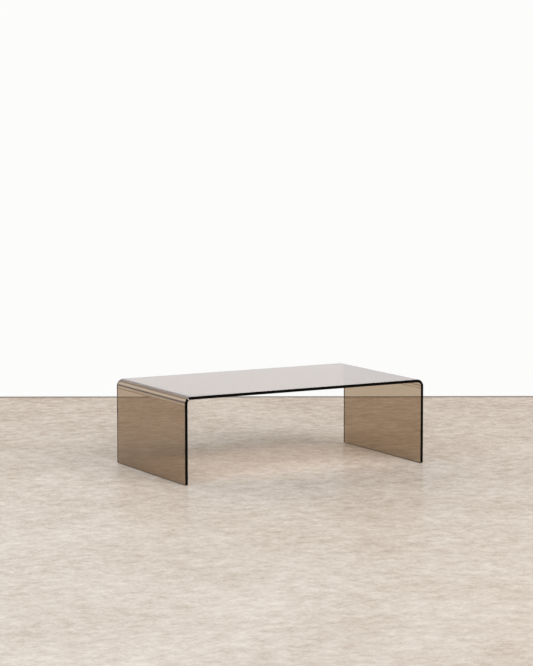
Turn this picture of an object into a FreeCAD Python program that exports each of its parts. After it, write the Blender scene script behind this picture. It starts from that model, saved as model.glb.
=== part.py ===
import FreeCAD, Part
import math
import os

# Waterfall coffee table: one sheet of bronze float glass, bent down at both ends into two legs,
# polished along its whole rim and standing on clear stick-on glides.
# Frame: origin on the floor under the middle of the table, +X along its length, +Y to its rear, +Z up.
# Units are millimetres.

# Table, as it stands on the floor
table_length = 1100.0       # across the outer faces of the two legs
table_width = 620.0
table_height = 350.0        # floor to the upper face of the top

# Glass sheet
glass_thickness = 12.0
bend_inner_radius = 17.0    # between the top and each leg, on the hollow side
leg_corner_radius = 5.0     # the lower corners, in the plane of the leg
arris = 0.5                 # 45 degree bevel along both rims of the polished edge

# Glides under the legs
glide_thickness = 1.5
glide_rim_radius = 0.4      # rounding of the rim that meets the floor
glide_edge_margin = 0.5     # flat of the polished foot left bare on each side of a glide
glide_end_gap = 25.0        # from the end of the foot's flat to the rim of the glide

# Adhesive film between each glide and the glass
adhesive_thickness = 0.15
adhesive_margin = 0.3       # rim of the glide left bare round its film

# Sizes that follow from those above
bend_outer_radius = bend_inner_radius + glass_thickness
foot_height = glide_thickness + adhesive_thickness
glide_radius = glass_thickness / 2 - arris - glide_edge_margin
adhesive_radius = glide_radius - adhesive_margin
glide_x = table_length / 2 - glass_thickness / 2
glide_y = table_width / 2 - leg_corner_radius - glide_end_gap - glide_radius

LEGS = {"left": -1, "right": 1}
ENDS = {"front": -1, "rear": 1}
UP = FreeCAD.Vector(0, 0, 1)
SEAM_ANGLE = math.radians(5)    # faces that meet at less than this run smoothly into each other


def bend(side, inset):
    """Quarter arc of one bend in the side view, at a depth of inset under the outer face, leg end first."""
    radius = bend_outer_radius - inset
    centre_x = side * (table_length / 2 - bend_outer_radius)
    centre_z = table_height - bend_outer_radius
    turns = [math.radians(angle) for angle in (0, 45, 90)]
    points = [
        FreeCAD.Vector(
            centre_x + side * radius * math.cos(turn),
            -table_width / 2,
            centre_z + radius * math.sin(turn),
        )
        for turn in turns
    ]
    return Part.Arc(*points).toShape()


def foot_point(side, inset):
    """Corner of the sheet's side view at the foot of a leg."""
    return FreeCAD.Vector(side * (table_length / 2 - inset), -table_width / 2, foot_height)


def side_face():
    """Side view of the bent sheet: two skins, one glass thickness apart, closed across the two feet."""
    edges = []
    for inset in (0, glass_thickness):
        arcs = {side: bend(side, inset) for side in LEGS.values()}
        for side, arc in arcs.items():
            edges.append(Part.makeLine(foot_point(side, inset), arc.firstVertex().Point))
            edges.append(arc)
        crowns = [arc.lastVertex().Point for arc in arcs.values()]
        edges.append(Part.makeLine(*crowns))
    for side in LEGS.values():
        edges.append(Part.makeLine(foot_point(side, 0), foot_point(side, glass_thickness)))
    return Part.Face(Part.Wire(Part.__sortEdges__(edges)))


def lower_corners(sheet):
    """The short edges across the glass at the ends of each foot."""
    found = []
    for edge in sheet.Edges:
        middle = edge.CenterOfMass
        at_foot = math.isclose(middle.z, foot_height, abs_tol=1e-6)
        at_end = math.isclose(abs(middle.y), table_width / 2, abs_tol=1e-6)
        if at_foot and at_end:
            found.append(edge)
    return found


def sharp_edges(solid):
    """Edges where two faces meet at an angle, without the seams where one runs smoothly into the next."""
    found = []
    for edge in solid.Edges:
        middle = edge.valueAt((edge.FirstParameter + edge.LastParameter) / 2)
        faces = solid.ancestorsOfType(edge, Part.Face)
        normals = [face.normalAt(*face.Surface.parameter(middle)) for face in faces]
        if normals[0].getAngle(normals[1]) > SEAM_ANGLE:
            found.append(edge)
    return found


def glass_sheet():
    """The bent sheet, with rounded lower corners and one arris running round each of its two rims."""
    sheet = side_face().extrude(FreeCAD.Vector(0, table_width, 0))
    sheet = sheet.makeFillet(leg_corner_radius, lower_corners(sheet))
    return sheet.makeChamfer(arris, sharp_edges(sheet))


def glide(x, y):
    """A clear disc with a rounded lower rim, turned about its own upright axis."""
    rim_turn = math.radians(45)
    rim_x = glide_radius - glide_rim_radius
    bond_centre = FreeCAD.Vector(0, 0, glide_thickness)
    bond_rim = FreeCAD.Vector(glide_radius, 0, glide_thickness)
    rim_top = FreeCAD.Vector(glide_radius, 0, glide_rim_radius)
    rim_middle = FreeCAD.Vector(
        rim_x + glide_rim_radius * math.cos(rim_turn),
        0,
        glide_rim_radius * (1 - math.sin(rim_turn)),
    )
    rim_foot = FreeCAD.Vector(rim_x, 0, 0)
    floor_centre = FreeCAD.Vector(0, 0, 0)
    outline = Part.Wire([
        Part.makeLine(bond_centre, bond_rim),
        Part.makeLine(bond_rim, rim_top),
        Part.Arc(rim_top, rim_middle, rim_foot).toShape(),
        Part.makeLine(rim_foot, floor_centre),
        Part.makeLine(floor_centre, bond_centre),
    ])
    disc = Part.Face(outline).revolve(floor_centre, UP, 360)
    return disc.translated(FreeCAD.Vector(x, y, 0))


def adhesive(x, y):
    """The film that bonds a glide to the polished foot of the glass."""
    return Part.makeCylinder(adhesive_radius, adhesive_thickness, FreeCAD.Vector(x, y, glide_thickness))


def save(name, shape):
    """Writes one sub-part and reports its size."""
    shape.exportStep(f"parts/{name}.step")
    print(f"{name}: {len(shape.Solids)} solid, {shape.Volume:.1f} mm3, valid {shape.isValid()}")


def main():
    os.makedirs("parts", exist_ok=True)
    save("glass_sheet", glass_sheet())
    for leg, side in LEGS.items():
        for end, way in ENDS.items():
            place = (side * glide_x, way * glide_y)
            save(f"glide_{leg}_{end}", glide(*place))
            save(f"adhesive_{leg}_{end}", adhesive(*place))


main()
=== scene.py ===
import math

import bmesh
import bpy
from mathutils import Matrix, Vector


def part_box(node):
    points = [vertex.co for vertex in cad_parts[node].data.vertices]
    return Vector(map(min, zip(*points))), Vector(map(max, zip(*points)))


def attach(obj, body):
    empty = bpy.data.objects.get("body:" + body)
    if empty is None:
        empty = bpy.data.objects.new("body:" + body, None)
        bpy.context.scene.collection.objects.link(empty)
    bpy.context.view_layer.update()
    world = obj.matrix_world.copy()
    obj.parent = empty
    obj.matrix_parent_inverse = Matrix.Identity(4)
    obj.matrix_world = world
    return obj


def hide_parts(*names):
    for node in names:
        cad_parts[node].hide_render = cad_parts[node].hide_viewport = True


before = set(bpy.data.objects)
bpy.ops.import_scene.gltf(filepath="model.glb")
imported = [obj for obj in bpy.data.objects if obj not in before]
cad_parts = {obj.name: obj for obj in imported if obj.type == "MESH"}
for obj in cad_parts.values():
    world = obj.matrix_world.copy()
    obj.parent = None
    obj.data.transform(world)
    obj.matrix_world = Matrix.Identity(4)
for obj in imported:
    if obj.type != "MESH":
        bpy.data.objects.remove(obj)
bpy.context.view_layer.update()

# Waterfall coffee table of bent bronze glass. Units are metres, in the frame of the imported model:
# origin on the floor under the middle of the table, +X along its length, +Y to its rear, +Z up.

# Glass sheet, whose length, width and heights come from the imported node
GLASS_THICKNESS = 0.012
BEND_INNER_RADIUS = 0.017
LEG_CORNER_RADIUS = 0.005
ARRIS = 0.0005
BEND_NECK = 0.00145         # by which the stretched skin draws in at the front and rear of a bend
NECK_SKEW = 1.3             # above 1, the deepest draw-in lies past the middle of the bend, towards the top
BEND_STEPS = 64             # facets round each bend
CORNER_STEPS = 12           # facets round each lower corner
SHARP_ANGLE = math.radians(30)
SKIN, RIM = 0.0, 1.0        # how the faces of the mesh are marked

# Ripple that bending left in the hollow skin: its crests and hollows, as millimetres along that skin from
# the foot of the bend, and millimetres by which the glass is thicker there
RIPPLE = (
    (-10.0, 0.0), (-5.0, -0.42), (0.6, 0.88), (7.5, -0.8), (10.5, -0.86),
    (21.0, 0.0), (24.3, -0.24), (30.6, 0.25), (36.0, 0.0),
)
MILLIMETRES = 1000.0        # in a metre
RIPPLE_FACET = 0.0005       # spacing of the mesh beside the bends
RIPPLE_REACH = 0.028        # how far beside the bends the mesh is that fine

# Bronze glass: what 1 m absorbs of each colour is (1 - colour) * density
GLASS_IOR = 1.52
GLASS_SHINE_TINT = (0.08, 0.08, 0.08, 1)    # share of the shine left where the glass is seen square on
GLASS_COAT = 0.73           # more shine where it is seen at a low angle
GLASS_COAT_IOR = 1.1
GLASS_COAT_TINT = (1, 0.988, 1, 1)
ABSORPTION_COLOUR = (0.468, 0.3, 0.04, 1)
ABSORPTION_DENSITY = 100.0
# Painted shade: the rim is coloured near black, darker than the absorbing glass alone makes its edges
RIM_PAINTED_SHADE_COLOUR = (0.0012, 0.001, 0.0008, 1)
RIM_CLEARNESS = 0.1         # share of the light that the rim, painted near black, lets by
SKIN_ROUGHNESS = (0.0, 0.012)
RIM_ROUGHNESS = (0.03, 0.08)
WIPING_WAVES = (9.0, 2.0, 1.0)          # per metre along the sheet, across it and through it
WIPING_SPAN = (0.35, 0.75)              # values of the noise between which the wiping marks show
GRINDING_WAVES = (6.0, 6.0, 2500.0)     # fine lines along the rim
NOISE_SPAN = (0.3, 0.7)                 # nearly all values of a noise lie between these
NOISE_MIDDLE = 0.5

# Clear plastics: cloudy between two colours, with a fine grain in waves per metre and metres of depth
PLASTIC_CLEARNESS = 0.85
PLASTIC_IOR = 1.49
CLOUD_WAVES = 400.0
GLIDE_COLOURS = ((0.8, 0.8, 0.76, 1), (0.9, 0.9, 0.87, 1))
GLIDE_ROUGHNESS = (0.2, 0.4)
GLIDE_GRAIN_WAVES = 3000.0
GLIDE_GRAIN_DEPTH = 0.00002
FILM_COLOURS = ((0.86, 0.86, 0.82, 1), (0.93, 0.93, 0.91, 1))
FILM_ROUGHNESS = (0.1, 0.3)
FILM_GRAIN_WAVES = 6000.0
FILM_GRAIN_DEPTH = 0.00001

# Camera, as the table's edges in the photograph place it
PHOTO_HEIGHT_PX = 666
FOCAL_PX = 2340.4
SENSOR_MM = 36.0            # Blender's camera is set in millimetres
CAMERA_PLACE = Vector((-4.6253, -8.3583, 1.6133))
CAMERA_YAW = math.radians(28.875)       # from +Y towards +X
CAMERA_PITCH = math.radians(6.4057)     # below the horizon
CAMERA_ROLL = math.radians(-0.0618)

# Stage
FLOOR_SIZE = 60.0
FLOOR_DROP = 0.0001         # keeps the floor just clear of the glides
FLOOR_PALE = (0.725, 0.64, 0.555, 1)
FLOOR_DARK = (0.465, 0.37, 0.29, 1)
PATCH_WAVES = 2.5           # per metre
GRAIN_WAVES = 15.0
PATCH_SHARE = 0.2           # of the floor's mottle that is broad patches, the rest being grain
MOTTLE_DEPTH = (-2.5, 1.5)  # places before the table and near the wall, along the camera's heading
MOTTLE_CONTRAST = (3.45, 5.0)           # how strong the mottle is at those two places
FLOOR_GLOSS = 0.115
FLOOR_ROUGHNESS = 0.2
WALL_DISTANCE = 1.952       # from the table's middle, along the camera's heading
WALL_WIDTH = 50.0
WALL_HEIGHT = 20.0
FOOT_SHADE_HEIGHT = 0.006            # height of a strip painted dark as shade where the wall meets the floor
WALL_COLOUR = (0.973, 0.973, 0.965, 1)
# Painted shade: the dark strip at the wall's foot stands in for the shadow line there
WALL_FOOT_SHADE_COLOUR = (0.3, 0.26, 0.22, 1)

# Light from all round, which grows with the square of its direction's y, from none at the sides and overhead
# to these two. An open floor gets an eighth of their sum, about 1, so that its colour renders as written.
FRONT_LIGHT = (5.8, 5.75, 5.93, 1)
REAR_LIGHT = (2.12, 1.96, 1.69, 1)
SHOWN_WHITE = (1, 1, 1, 1)  # what is seen instead, directly, in gloss and through glass

# Softbox in front of the table, and a small lamp that shows as a glint on the near bend
LAMP_DISTANCE = 3.0         # from the table's middle, towards the camera
LAMP_LEFT = 1.6
LAMP_HEIGHT = 3.2
LAMP_TARGET = 0.6           # in front of the table, on the floor
LAMP_SIZE = (2.4, 1.6)
LAMP_POWER = 44.5
LAMP_COLOUR = (0.73, 1.0, 1.23)
GLINT_PLACE = Vector((0.67, -4.12, 0.535))
GLINT_TARGET = Vector((-0.535, -0.309, 0.339))      # the near bend's edge
GLINT_SIZE = (0.12, 0.12)
GLINT_POWER = 14.0
GLINT_COLOUR = (1, 0.95, 0.9)

# Level directions as the camera stands: away from it, and to its right
HEADING = Vector((math.sin(CAMERA_YAW), math.cos(CAMERA_YAW), 0))
LEVEL = Vector((math.cos(CAMERA_YAW), -math.sin(CAMERA_YAW), 0))


def link(tree, source, target):
    tree.links.new(source, target)


def new_material(name):
    """An empty node material with its output node."""
    material = bpy.data.materials.new(name)
    material.use_nodes = True
    material.node_tree.nodes.clear()
    output = material.node_tree.nodes.new("ShaderNodeOutputMaterial")
    return material, material.node_tree, output


def math_node(tree, operation, first, second):
    """A calculation with two inputs, each a socket or a number."""
    node = tree.nodes.new("ShaderNodeMath")
    node.operation = operation
    for socket, value in zip(node.inputs, (first, second)):
        if isinstance(value, (int, float)):
            socket.default_value = value
        else:
            link(tree, value, socket)
    return node.outputs[0]


def mapped(tree, value, to_range, from_range=(0.0, 1.0)):
    """A value moved from one range to another."""
    node = tree.nodes.new("ShaderNodeMapRange")
    node.inputs["From Min"].default_value = from_range[0]
    node.inputs["From Max"].default_value = from_range[1]
    node.inputs["To Min"].default_value = to_range[0]
    node.inputs["To Max"].default_value = to_range[1]
    link(tree, value, node.inputs["Value"])
    return node.outputs["Result"]


def mixed(tree, share, first, second, kind):
    """First and second, each a socket or a constant, mixed by a share; kind is FLOAT or RGBA."""
    node = tree.nodes.new("ShaderNodeMix")
    node.data_type = kind
    link(tree, share, node.inputs["Factor"])
    ends = [s for s in node.inputs if s.name in ("A", "B") and s.enabled]
    for socket, value in zip(ends, (first, second)):
        if isinstance(value, (int, float, tuple)):
            socket.default_value = value
        else:
            link(tree, value, socket)
    return next(s for s in node.outputs if s.enabled)


def attribute(tree, name):
    node = tree.nodes.new("ShaderNodeAttribute")
    node.attribute_name = name
    return node


def noise(tree, place, stretch, detail=2.0, roughness=0.5):
    """Noise over a place, with as many waves per metre along each axis as stretch says."""
    scaled = tree.nodes.new("ShaderNodeMapping")
    scaled.inputs["Scale"].default_value = stretch
    link(tree, place, scaled.inputs["Vector"])
    node = tree.nodes.new("ShaderNodeTexNoise")
    node.inputs["Scale"].default_value = 1.0
    node.inputs["Detail"].default_value = detail
    node.inputs["Roughness"].default_value = roughness
    link(tree, scaled.outputs["Vector"], node.inputs["Vector"])
    return node.outputs["Fac"]


def object_place(tree):
    return tree.nodes.new("ShaderNodeTexCoord").outputs["Object"]


def bump(tree, height, depth):
    """A normal for a height field that is depth metres deep."""
    node = tree.nodes.new("ShaderNodeBump")
    node.inputs["Strength"].default_value = 1.0
    node.inputs["Distance"].default_value = depth
    link(tree, height, node.inputs["Height"])
    return node.outputs["Normal"]


def add_object(name, mesh):
    piece = bpy.data.objects.new(name, mesh)
    bpy.context.scene.collection.objects.link(piece)
    return piece


class BentSheet:
    """Sizes of the bent sheet, from its box, with lengths measured along its outer face."""

    def __init__(self, low, high):
        self.length = high.x - low.x
        self.width = high.y - low.y
        self.foot = low.z
        self.top = high.z
        self.radius = BEND_INNER_RADIUS + GLASS_THICKNESS
        self.leg = self.top - self.foot - self.radius
        self.arc = self.radius * math.pi / 2
        self.total = 2 * (self.leg + self.arc) + self.length - 2 * self.radius

    def past_leg(self, along):
        """How far a place lies past the end of its leg's flat, for a distance along from the left foot."""
        return min(along, self.total - along) - self.leg

    def station(self, along):
        """Place (x, z) on the outer face, and its outward normal, at a distance along from the left foot."""
        side = -1 if along <= self.total / 2 else 1
        past = self.past_leg(along)
        end_x = side * self.length / 2
        centre_x = side * (self.length / 2 - self.radius)
        centre_z = self.top - self.radius
        if past <= 0:
            return (end_x, centre_z + past), (side, 0.0)
        if past < self.arc:
            turn = past / self.radius
            normal = (side * math.cos(turn), math.sin(turn))
            return (centre_x + self.radius * normal[0], centre_z + self.radius * normal[1]), normal
        return (centre_x - side * (past - self.arc), self.top), (0.0, 1.0)

    def ripple(self, along):
        """Depth of the ripple where the hollow skin faces a place on the outer one."""
        shrink = BEND_INNER_RADIUS / self.radius
        past = self.past_leg(along)
        if past > self.arc:
            past += self.arc * shrink - self.arc
        elif past > 0:
            past *= shrink
        place = past * MILLIMETRES
        for (start, low), (end, high) in zip(RIPPLE, RIPPLE[1:]):
            if start <= place < end:
                turn = math.pi * (place - start) / (end - start)
                return (low + (high - low) * (1 - math.cos(turn)) / 2) / MILLIMETRES
        return 0.0

    def neck(self, along):
        """How far the stretched skin draws in from the edge."""
        share = min(max(self.past_leg(along) / self.arc, 0), 1)
        return BEND_NECK * math.sin(math.pi * share ** NECK_SKEW) ** 2

    def rings(self):
        """Rings of (rim along, rim y, skin along, skin y) on the flat sheet, left foot first."""
        skin_radius = LEG_CORNER_RADIUS - ARRIS
        centre_y = self.width / 2 - LEG_CORNER_RADIUS
        first = []
        for step in range(CORNER_STEPS + 1):
            turn = math.pi / 2 * (1 - step / CORNER_STEPS)
            first.append((
                LEG_CORNER_RADIUS * (1 - math.sin(turn)),
                centre_y + LEG_CORNER_RADIUS * math.cos(turn),
                LEG_CORNER_RADIUS - skin_radius * math.sin(turn),
                centre_y + skin_radius * math.cos(turn),
            ))
        beside = round(RIPPLE_REACH / RIPPLE_FACET)
        places = [self.leg - step * RIPPLE_FACET for step in range(beside, 0, -1)]
        places += [self.leg + self.arc * step / BEND_STEPS for step in range(BEND_STEPS + 1)]
        places += [self.leg + self.arc + step * RIPPLE_FACET for step in range(1, beside + 1)]
        edge_y = self.width / 2
        first += [(along, edge_y, along, edge_y - ARRIS) for along in places]
        second = [
            (self.total - rim_along, rim_y, self.total - skin_along, skin_y)
            for rim_along, rim_y, skin_along, skin_y in first
        ]
        return first + second[::-1]


def glass_mesh(low, high):
    """The bent sheet as one closed mesh: two skins, the polished rim and the arrises between them."""
    form = BentSheet(low, high)
    bm = bmesh.new()
    rim_mask = bm.faces.layers.float.new("rim")
    place = bm.loops.layers.float_vector.new("sheet_place")
    flat_place = {}

    def vertex(along, across, depth):
        (x, z), normal = form.station(along)
        vert = bm.verts.new((x - depth * normal[0], across, z - depth * normal[1]))
        flat_place[vert] = Vector((along, across, depth))
        return vert

    def face(verts, mark):
        made = bm.faces.new(verts)
        made[rim_mask] = mark
        made.smooth = True
        for loop in made.loops:
            loop[place] = flat_place[loop.vert]

    rings = []
    for rim_along, rim_y, skin_along, skin_y in form.rings():
        hollow = GLASS_THICKNESS + form.ripple(skin_along)
        drawn = form.neck(skin_along)
        rings.append([
            vertex(skin_along, drawn - skin_y, 0.0),
            vertex(skin_along, skin_y - drawn, 0.0),
            vertex(rim_along, rim_y - drawn, ARRIS),
            vertex(rim_along, rim_y, hollow - ARRIS),
            vertex(skin_along, skin_y, hollow),
            vertex(skin_along, -skin_y, hollow),
            vertex(rim_along, -rim_y, hollow - ARRIS),
            vertex(rim_along, drawn - rim_y, ARRIS),
        ])
    # Between two rings: the outer skin, an arris, edge and arris, the hollow skin, and those three again
    marks = [SKIN, RIM, RIM, RIM, SKIN, RIM, RIM, RIM]
    for one, two in zip(rings, rings[1:]):
        for spot, mark in enumerate(marks):
            after = (spot + 1) % len(marks)
            face((one[spot], one[after], two[after], two[spot]), mark)
    # Across the bottom of each foot: an arris, the edge and an arris
    for ring in (rings[0], rings[-1]):
        pairs = [(ring[-step], ring[step + 1]) for step in range(len(ring) // 2)]
        for (front, rear), (next_front, next_rear) in zip(pairs, pairs[1:]):
            face((front, rear, next_rear, next_front), RIM)
    bmesh.ops.recalc_face_normals(bm, faces=bm.faces)

    mesh = bpy.data.meshes.new("glass_sheet_fine")
    bm.to_mesh(mesh)
    bm.free()
    mesh.set_sharp_from_angle(angle=SHARP_ANGLE)
    return mesh


def bronze_glass():
    """Clear skins over a body that takes light by the distance travelled in it, and a polished rim painted
    near black: painted shade added to the darkness that the glass itself gives its edges.
    """
    material, tree, output = new_material("bronze_glass")
    shell = tree.nodes.new("ShaderNodeBsdfPrincipled")
    shell.inputs["IOR"].default_value = GLASS_IOR
    shell.inputs["Specular Tint"].default_value = GLASS_SHINE_TINT
    shell.inputs["Coat IOR"].default_value = GLASS_COAT_IOR
    shell.inputs["Coat Roughness"].default_value = 0.0
    shell.inputs["Coat Tint"].default_value = GLASS_COAT_TINT
    rim = attribute(tree, "rim").outputs["Fac"]
    place = attribute(tree, "sheet_place").outputs["Vector"]
    wiping = noise(tree, place, WIPING_WAVES, detail=4.0)
    grinding = noise(tree, place, GRINDING_WAVES, detail=3.0)
    skin_roughness = mapped(tree, wiping, SKIN_ROUGHNESS, WIPING_SPAN)
    rim_roughness = mapped(tree, grinding, RIM_ROUGHNESS, NOISE_SPAN)
    # Painted shade: rim faces get a near-black colour and let little light by
    link(tree, mixed(tree, rim, (1, 1, 1, 1), RIM_PAINTED_SHADE_COLOUR, "RGBA"), shell.inputs["Base Color"])
    link(tree, mapped(tree, rim, (1.0, RIM_CLEARNESS)), shell.inputs["Transmission Weight"])
    link(tree, mapped(tree, rim, (GLASS_COAT, 0.0)), shell.inputs["Coat Weight"])
    link(tree, mixed(tree, rim, skin_roughness, rim_roughness, "FLOAT"), shell.inputs["Roughness"])
    body = tree.nodes.new("ShaderNodeVolumeAbsorption")
    body.inputs["Color"].default_value = ABSORPTION_COLOUR
    body.inputs["Density"].default_value = ABSORPTION_DENSITY
    link(tree, shell.outputs["BSDF"], output.inputs["Surface"])
    link(tree, body.outputs["Volume"], output.inputs["Volume"])
    return material


def clear_plastic(name, colours, roughness, grain_waves, grain_depth):
    """Clear soft plastic: cloudy in places, with a fine grain."""
    material, tree, output = new_material(name)
    place = object_place(tree)
    shell = tree.nodes.new("ShaderNodeBsdfPrincipled")
    shell.inputs["Transmission Weight"].default_value = PLASTIC_CLEARNESS
    shell.inputs["IOR"].default_value = PLASTIC_IOR
    clouds = noise(tree, place, (CLOUD_WAVES, CLOUD_WAVES, CLOUD_WAVES), detail=3.0)
    cloudiness = mapped(tree, clouds, (0.0, 1.0), NOISE_SPAN)
    grain = noise(tree, place, (grain_waves, grain_waves, grain_waves), detail=2.0)
    link(tree, mixed(tree, cloudiness, *colours, "RGBA"), shell.inputs["Base Color"])
    link(tree, mapped(tree, grain, roughness, NOISE_SPAN), shell.inputs["Roughness"])
    link(tree, bump(tree, grain, grain_depth), shell.inputs["Normal"])
    link(tree, shell.outputs["BSDF"], output.inputs["Surface"])
    return material


def pale_floor():
    """Plain pale stone floor with a soft sheen and a mottle that is fainter before the table."""
    material, tree, output = new_material("pale_floor")
    place = object_place(tree)
    patches = noise(tree, place, (PATCH_WAVES, PATCH_WAVES, 1.0), detail=3.0)
    grains = noise(tree, place, (GRAIN_WAVES, GRAIN_WAVES, 1.0), detail=5.0, roughness=0.95)
    coarse = math_node(tree, "MULTIPLY", patches, PATCH_SHARE)
    fine = math_node(tree, "MULTIPLY", grains, 1.0 - PATCH_SHARE)
    mottle = math_node(tree, "ADD", coarse, fine)
    depth = tree.nodes.new("ShaderNodeVectorMath")
    depth.operation = "DOT_PRODUCT"
    depth.inputs[1].default_value = HEADING
    link(tree, place, depth.inputs[0])
    contrast = mapped(tree, depth.outputs["Value"], MOTTLE_CONTRAST, MOTTLE_DEPTH)
    swing = math_node(tree, "MULTIPLY", math_node(tree, "SUBTRACT", mottle, NOISE_MIDDLE), contrast)
    paleness = math_node(tree, "ADD", swing, NOISE_MIDDLE)
    colour = mixed(tree, paleness, FLOOR_DARK, FLOOR_PALE, "RGBA")
    stone = tree.nodes.new("ShaderNodeBsdfDiffuse")
    link(tree, colour, stone.inputs["Color"])
    sheen = tree.nodes.new("ShaderNodeBsdfGlossy")
    sheen.inputs["Roughness"].default_value = FLOOR_ROUGHNESS
    mix = tree.nodes.new("ShaderNodeMixShader")
    mix.inputs["Fac"].default_value = FLOOR_GLOSS
    link(tree, stone.outputs[0], mix.inputs[1])
    link(tree, sheen.outputs[0], mix.inputs[2])
    link(tree, mix.outputs[0], output.inputs["Surface"])
    return material


def seen_directly(tree):
    """1 for rays that show the background: from the camera, and by way of gloss or glass."""
    path = tree.nodes.new("ShaderNodeLightPath")
    total = path.outputs["Is Camera Ray"]
    for name in ("Is Glossy Ray", "Is Transmission Ray"):
        total = math_node(tree, "MAXIMUM", total, path.outputs[name])
    return total


def backdrop(name, colour):
    """One plain colour to whatever looks at its front, and clear to the light and from behind."""
    material, tree, output = new_material(name)
    paint = tree.nodes.new("ShaderNodeEmission")
    paint.inputs["Color"].default_value = colour
    clear = tree.nodes.new("ShaderNodeBsdfTransparent")
    geometry = tree.nodes.new("ShaderNodeNewGeometry")
    front = math_node(tree, "SUBTRACT", 1.0, geometry.outputs["Backfacing"])
    mix = tree.nodes.new("ShaderNodeMixShader")
    link(tree, math_node(tree, "MULTIPLY", front, seen_directly(tree)), mix.inputs["Fac"])
    link(tree, clear.outputs[0], mix.inputs[1])
    link(tree, paint.outputs[0], mix.inputs[2])
    link(tree, mix.outputs[0], output.inputs["Surface"])
    return material


def plane(name, corners, material):
    """One flat face of the stage."""
    mesh = bpy.data.meshes.new(name)
    mesh.from_pydata(corners, [], [tuple(range(len(corners)))])
    mesh.materials.append(material)
    piece = add_object(name, mesh)


def build_stage():
    """The floor, and a white wall that stands square to the camera's heading above a thin strip of painted
    shade.
    """
    reach = FLOOR_SIZE / 2
    plane("floor", [
        (-reach, -reach, -FLOOR_DROP),
        (reach, -reach, -FLOOR_DROP),
        (reach, reach, -FLOOR_DROP),
        (-reach, reach, -FLOOR_DROP),
    ], pale_floor())
    white_wall = backdrop("white_wall", WALL_COLOUR)
    painted_foot_shade = backdrop("painted_foot_shade", WALL_FOOT_SHADE_COLOUR)
    along = LEVEL * WALL_WIDTH / 2
    foot = HEADING * WALL_DISTANCE - Vector((0, 0, FLOOR_DROP))
    shade_top = foot + Vector((0, 0, FOOT_SHADE_HEIGHT))
    crown = foot + Vector((0, 0, WALL_HEIGHT))
    # A thin dark strip of painted shade along the wall's foot
    plane("wall_foot_painted_shade", [foot - along, foot + along, shade_top + along, shade_top - along], painted_foot_shade)
    plane("backdrop", [shade_top - along, shade_top + along, crown + along, crown - along], white_wall)


def build_world():
    """Soft light, mostly from the table's front and rear; gloss and glass show plain white instead."""
    world = bpy.data.worlds.new("studio")
    bpy.context.scene.world = world
    world.use_nodes = True
    tree = world.node_tree
    tree.nodes.clear()
    output = tree.nodes.new("ShaderNodeOutputWorld")
    parts = tree.nodes.new("ShaderNodeSeparateXYZ")
    link(tree, tree.nodes.new("ShaderNodeTexCoord").outputs["Generated"], parts.inputs[0])
    towards_rear = parts.outputs["Y"]
    strength = math_node(tree, "MULTIPLY", towards_rear, towards_rear)
    rear_share = mapped(tree, towards_rear, (0.0, 1.0), (-1.0, 1.0))
    light = tree.nodes.new("ShaderNodeBackground")
    link(tree, mixed(tree, rear_share, FRONT_LIGHT, REAR_LIGHT, "RGBA"), light.inputs["Color"])
    link(tree, strength, light.inputs["Strength"])
    shown = tree.nodes.new("ShaderNodeBackground")
    shown.inputs["Color"].default_value = SHOWN_WHITE
    mix = tree.nodes.new("ShaderNodeMixShader")
    link(tree, seen_directly(tree), mix.inputs["Fac"])
    link(tree, light.outputs[0], mix.inputs[1])
    link(tree, shown.outputs[0], mix.inputs[2])
    link(tree, mix.outputs[0], output.inputs["Surface"])


def softbox(name, place, target, size, power, colour):
    """A rectangular lamp at a place, turned to a target."""
    data = bpy.data.lights.new(name, "AREA")
    data.shape = "RECTANGLE"
    data.size, data.size_y = size
    data.energy = power
    data.color = colour
    lamp = bpy.data.objects.new(name, data)
    bpy.context.scene.collection.objects.link(lamp)
    turn = (target - place).to_track_quat("-Z", "Y").to_matrix().to_4x4()
    lamp.matrix_world = Matrix.Translation(place) @ turn


def build_lamps():
    """A wide softbox that makes the floor brighter towards the camera, and a small one for the glint."""
    place = -HEADING * LAMP_DISTANCE - LEVEL * LAMP_LEFT + Vector((0, 0, LAMP_HEIGHT))
    softbox("softbox", place, -HEADING * LAMP_TARGET, LAMP_SIZE, LAMP_POWER, LAMP_COLOUR)
    softbox("glint_lamp", GLINT_PLACE, GLINT_TARGET, GLINT_SIZE, GLINT_POWER, GLINT_COLOUR)


def build_camera():
    """The photograph's camera: its heading, tilt and small roll as one matrix."""
    data = bpy.data.cameras.new("camera")
    data.sensor_width = SENSOR_MM
    data.lens = SENSOR_MM * FOCAL_PX / PHOTO_HEIGHT_PX
    forward = HEADING * math.cos(CAMERA_PITCH) - Vector((0, 0, math.sin(CAMERA_PITCH)))
    plumb = LEVEL.cross(forward)
    right = LEVEL * math.cos(CAMERA_ROLL) + plumb * math.sin(CAMERA_ROLL)
    up = plumb * math.cos(CAMERA_ROLL) - LEVEL * math.sin(CAMERA_ROLL)
    camera = bpy.data.objects.new("camera", data)
    bpy.context.scene.collection.objects.link(camera)
    turn = Matrix((right, up, -forward)).transposed().to_4x4()
    camera.matrix_world = Matrix.Translation(CAMERA_PLACE) @ turn
    bpy.context.scene.camera = camera


def build_table():
    """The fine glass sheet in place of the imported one, and clear plastics for the glides and their films."""
    sheet = add_object("glass_sheet_fine", glass_mesh(*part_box("glass_sheet")))
    sheet.data.materials.append(bronze_glass())
    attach(sheet, "root")
    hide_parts("glass_sheet")
    plastics = {
        "glide": clear_plastic(
            "clear_glide", GLIDE_COLOURS, GLIDE_ROUGHNESS, GLIDE_GRAIN_WAVES, GLIDE_GRAIN_DEPTH),
        "adhesive": clear_plastic(
            "clear_adhesive", FILM_COLOURS, FILM_ROUGHNESS, FILM_GRAIN_WAVES, FILM_GRAIN_DEPTH),
    }
    for name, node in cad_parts.items():
        for kind, material in plastics.items():
            if name.startswith(kind):
                node.data.materials.clear()
                node.data.materials.append(material)


bpy.context.scene.view_settings.view_transform = "Standard"
build_table()
build_stage()
build_world()
build_lamps()
build_camera()
